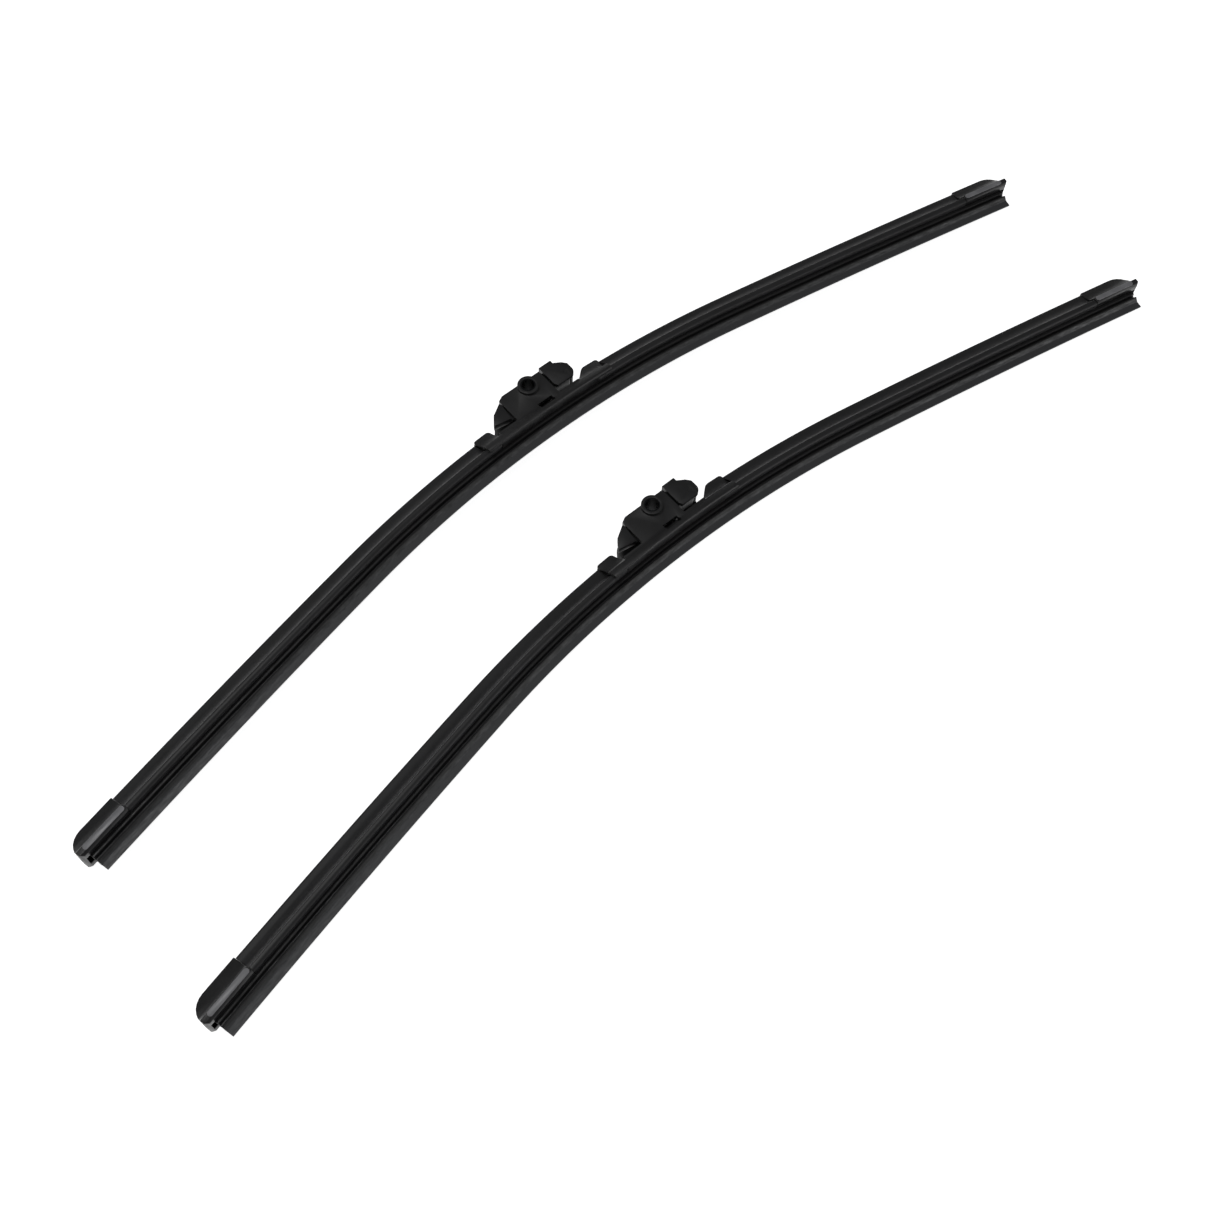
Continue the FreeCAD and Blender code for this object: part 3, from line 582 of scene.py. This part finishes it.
def cutGrip(cover, prefix):   # grooves across the top of the cover, for the thumb
    selectOnly(cover)
    bpy.ops.object.mode_set(mode="EDIT")
    top = max(vertex.co.y for vertex in cover.data.vertices)

    def onTop(face):
        return face.normal.y > 0.98 and face.calc_center_median().y > top - moulding["gripTop"]

    first = pins[prefix].x + moulding["gripFirst"]
    edges = []
    for i in range(moulding["gripCount"]):
        start = first + i * moulding["gripPitch"]
        edges += [start, start + moulding["gripWidth"]]
    rim = moulding["gripRim"]
    cuts = [((x, 0, 0), (1, 0, 0)) for x in edges]
    cuts += [((0, 0, pins[prefix].z + side * rim), (0, 0, 1)) for side in (-1, 1)]
    for place, normal in cuts:
        pick(cover, "FACE", onTop)
        bpy.ops.mesh.bisect(plane_co=place, plane_no=normal)
    pick(cover, "FACE", lambda face: onTop(face)
         and any(x < face.calc_center_median().x < x + moulding["gripWidth"] for x in edges[::2])
         and abs(face.calc_center_median().z - pins[prefix].z) < rim)
    bpy.ops.mesh.inset(thickness=moulding["gripDraft"])
    bpy.ops.mesh.extrude_region_shrink_fatten(
        TRANSFORM_OT_shrink_fatten={"value": -moulding["gripDepth"]})
    bpy.ops.object.mode_set(mode="OBJECT")


for prefix in prefixes:
    base = copyMerged(f"{prefix}_connector_base", f"{prefix}_base_moulding")
    roundFeet(base, prefix)
    roundEdges(base, moulding["baseEdge"])
    finishMoulding(base, f"{prefix}_blade", f"{prefix}_connector_base", basePlastic)
    adapter = copyMerged(f"{prefix}_adapter", f"{prefix}_adapter_moulding")
    roundEdges(adapter, moulding["adapterEdge"])
    finishMoulding(adapter, f"{prefix}_adapter_body", f"{prefix}_adapter", adapterPlastic)
    cover = copyMerged(f"{prefix}_locking_cover", f"{prefix}_cover_moulding")
    roundEdges(cover, moulding["coverEdge"], 3)
    cutGrip(cover, prefix)
    finishMoulding(cover, f"{prefix}_cover_body", f"{prefix}_locking_cover", adapterPlastic)
print("connectors made")


# The end caps: a raised grained strip on each flank, pale grey as painted reflection, and slots
# across the end

endCap = {
    "flank": 7.6 * mm,      # half width over the flanks
    "padLength": 24 * mm,
    "padHeight": 2.7 * mm,
    "padStart": 276.2 * mm,    # from the middle of the blade
    "padMiddle": 11.7 * mm,    # from the tip of the lip
    "padThick": 0.5 * mm,
    "padRise": 0.12 * mm,
    "padRound": 1.3 * mm,
    "padEdge": 0.1 * mm,
    "edge": 0.3 * mm,
    "reach": 303.7 * mm,       # from the middle of the blade to the end face
    "slotCount": 3,
    "slotLow": 11.9 * mm,      # from the tip of the lip
    "slotPitch": 1.7 * mm,
    "slotHeight": 1.0 * mm,
    "slotWidth": 11.0 * mm,
    "slotStep": 2.6 * mm,      # each slot is this much narrower than the one below
    "slotDepth": 0.9 * mm,
}


def makePad(prefix, outward, face):   # the strip on the flank that faces up (1) or down (-1)
    selectOnly()
    middle = bow["reach"] + outward * (endCap["padStart"] + endCap["padLength"] / 2)
    out = endCap["flank"] + endCap["padRise"] - endCap["padThick"] / 2
    bpy.ops.mesh.primitive_cube_add(
        size=1, location=(middle, endCap["padMiddle"] - bow["railHeight"], face * out),
        scale=(endCap["padLength"], endCap["padHeight"], endCap["padThick"]))
    pad = bpy.context.object
    bpy.ops.object.transform_apply(location=True, rotation=True, scale=True)
    bpy.ops.object.mode_set(mode="EDIT")
    pick(pad, "EDGE", lambda edge: abs(runOf(edge).z) > endCap["padThick"] / 2)
    bpy.ops.mesh.bevel(offset=endCap["padRound"], segments=6, affect="EDGES")
    top = face * (out + endCap["padThick"] / 2)
    pick(pad, "EDGE", lambda edge: all(abs(vertex.co.z - top) < 0.01 * mm for vertex in edge.verts))
    bpy.ops.mesh.bevel(offset=endCap["padEdge"], segments=2, affect="EDGES")
    bpy.ops.object.mode_set(mode="OBJECT")
    bendToBow(pad, prefix)
    # the strip's pale grey is painted reflection
    pad.data.materials.append(paintedReflectionPad)
    return pad


def makeSlots(prefix, outward):   # bars that cut the slots across the end of a cap
    end = bow["reach"] + outward * endCap["reach"]
    bars = []
    for i in range(endCap["slotCount"]):
        height = endCap["slotLow"] + i * endCap["slotPitch"]
        width = endCap["slotWidth"] - i * endCap["slotStep"]
        selectOnly()
        bpy.ops.mesh.primitive_cube_add(
            size=1, location=(end, height - bow["railHeight"], 0),
            scale=(2 * endCap["slotDepth"], endCap["slotHeight"], width))
        bars.append(bpy.context.object)
        bpy.ops.object.transform_apply(location=True, rotation=True, scale=True)
    slots = joined(bars)
    bendToBow(slots, prefix)
    return slots


def makeCap(prefix, side):
    outward = -1 if side == "left" else 1
    cap = copyMerged(f"{prefix}_end_cap_{side}", f"{prefix}_cap_moulding_{side}")
    roundEdges(cap, endCap["edge"], 3)
    cap.data.materials.append(capPlastic)
    slots = makeSlots(prefix, outward)
    cutter = cap.modifiers.new("slots", "BOOLEAN")
    cutter.operation = "DIFFERENCE"
    cutter.solver = "EXACT"
    cutter.object = slots
    selectOnly(cap)
    bpy.ops.object.modifier_apply(modifier="slots")
    bpy.data.objects.remove(slots)
    cap = joined([cap] + [makePad(prefix, outward, face) for face in (-1, 1)])
    smoothSides(cap, 34)
    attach(cap, f"{prefix}_cap_{side}_body")
    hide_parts(f"{prefix}_end_cap_{side}")


for prefix in prefixes:
    for side in ("left", "right"):
        makeCap(prefix, side)
for helper in bows.values():
    bpy.data.objects.remove(helper)
print("end caps made")


# Steel pieces keep the frame's shapes

for prefix in prefixes:
    finishes = {
        "spring_rail_front": coatedSteel, "spring_rail_back": coatedSteel,
        "rail_bridge": coatedSteel, "pivot_bush": turnedSteel, "cover_hinge_pin": coatedSteel,
        "rail_clip_left": turnedSteel, "rail_clip_right": turnedSteel,
    }
    for name, finish in finishes.items():
        node = frame["nodes"][f"{prefix}_{name}"]
        node.data.materials.clear()
        node.data.materials.append(finish)
print("steel finished")


# Floor, light and camera

studio = {
    "floor": "fbfbfb",
    "floorSize": 12,
    "floorDrop": 0.2 * mm,   # just under the blades
    "floorGlow": 0.85,
    "world": 0.2,
    "backdrop": 1.0,         # the world as the camera sees it
    "boxes": [   # name, place, aimed at, width and height in metres, power in watts
        ("overheadBox", (-0.34, 0.42, 1.5), (-0.1, 0, 0), (0.5, 0.5), 5.8),
        ("sideBox", (-1.2, -0.9, 0.8), (0, 0, 0), (0.8, 0.8), 1.2),
        ("edgeBox", (0.73, -1.2, 0.42), (0, 0, 0), (0.5, 0.35), 3.0),
    ],
}

selectOnly()
bpy.ops.mesh.primitive_plane_add(size=studio["floorSize"], location=(0, 0, -studio["floorDrop"]))
floor = bpy.context.object
floor.name = "floor"
floorPaint, floorTree, floorShader = startMaterial("paleFloor", {
    "Base Color": linearColour(studio["floor"]), "Roughness": 0.9, "Specular IOR Level": 0.1,
    "Emission Color": (1, 1, 1, 1), "Emission Strength": studio["floorGlow"]})
floor.data.materials.append(floorPaint)

world = bpy.data.worlds.new("studio")
bpy.context.scene.world = world
world.use_nodes = True
worldTree = world.node_tree
seen = addNode(worldTree, "ShaderNodeLightPath")
strength = addNode(worldTree, "ShaderNodeMapRange", None,
                   {"To Min": studio["world"], "To Max": studio["backdrop"]},
                   {"Value": seen.outputs["Is Camera Ray"]})
background = worldTree.nodes["Background"]
background.inputs["Color"].default_value = (1, 1, 1, 1)
worldTree.links.new(strength.outputs["Result"], background.inputs["Strength"])


def addSoftbox(name, place, target, size, power):
    lamp = bpy.data.lights.new(name, "AREA")
    lamp.shape = "RECTANGLE"
    lamp.size, lamp.size_y = size
    lamp.energy = power
    made = bpy.data.objects.new(name, lamp)
    bpy.context.scene.collection.objects.link(made)
    made.location = place
    made.rotation_euler = (Vector(target) - Vector(place)).to_track_quat("-Z", "Y").to_euler()


for box in studio["boxes"]:
    addSoftbox(*box)
bpy.context.scene.view_settings.view_transform = "Standard"

shot = {
    "azimuth": -43.69,     # degrees
    "elevation": 62.04,
    "roll": 2.67,
    "distance": 713.7 * mm,
    "target": (-44.85 * mm, -37.0 * mm, 9.4 * mm),
    "lens": 44.5,          # as on a frame 36 wide
}

turn, lift, roll = (math.radians(shot[key]) for key in ("azimuth", "elevation", "roll"))
back = Vector((math.sin(turn) * math.cos(lift), -math.cos(turn) * math.cos(lift), math.sin(lift)))
level = Vector((math.cos(turn), math.sin(turn), 0))
upright = back.cross(level)
right = level * math.cos(roll) + upright * math.sin(roll)
up = upright * math.cos(roll) - level * math.sin(roll)
lens = bpy.data.cameras.new("camera")
lens.lens = shot["lens"]
lens.sensor_width = 36
lens.clip_start = 0.01
camera = bpy.data.objects.new("camera", lens)
bpy.context.scene.collection.objects.link(camera)
standpoint = Vector(shot["target"]) + back * shot["distance"]
facing = Matrix((right, up, back)).transposed().to_4x4()
camera.matrix_world = Matrix.Translation(standpoint) @ facing
bpy.context.scene.camera = camera
print("studio set")
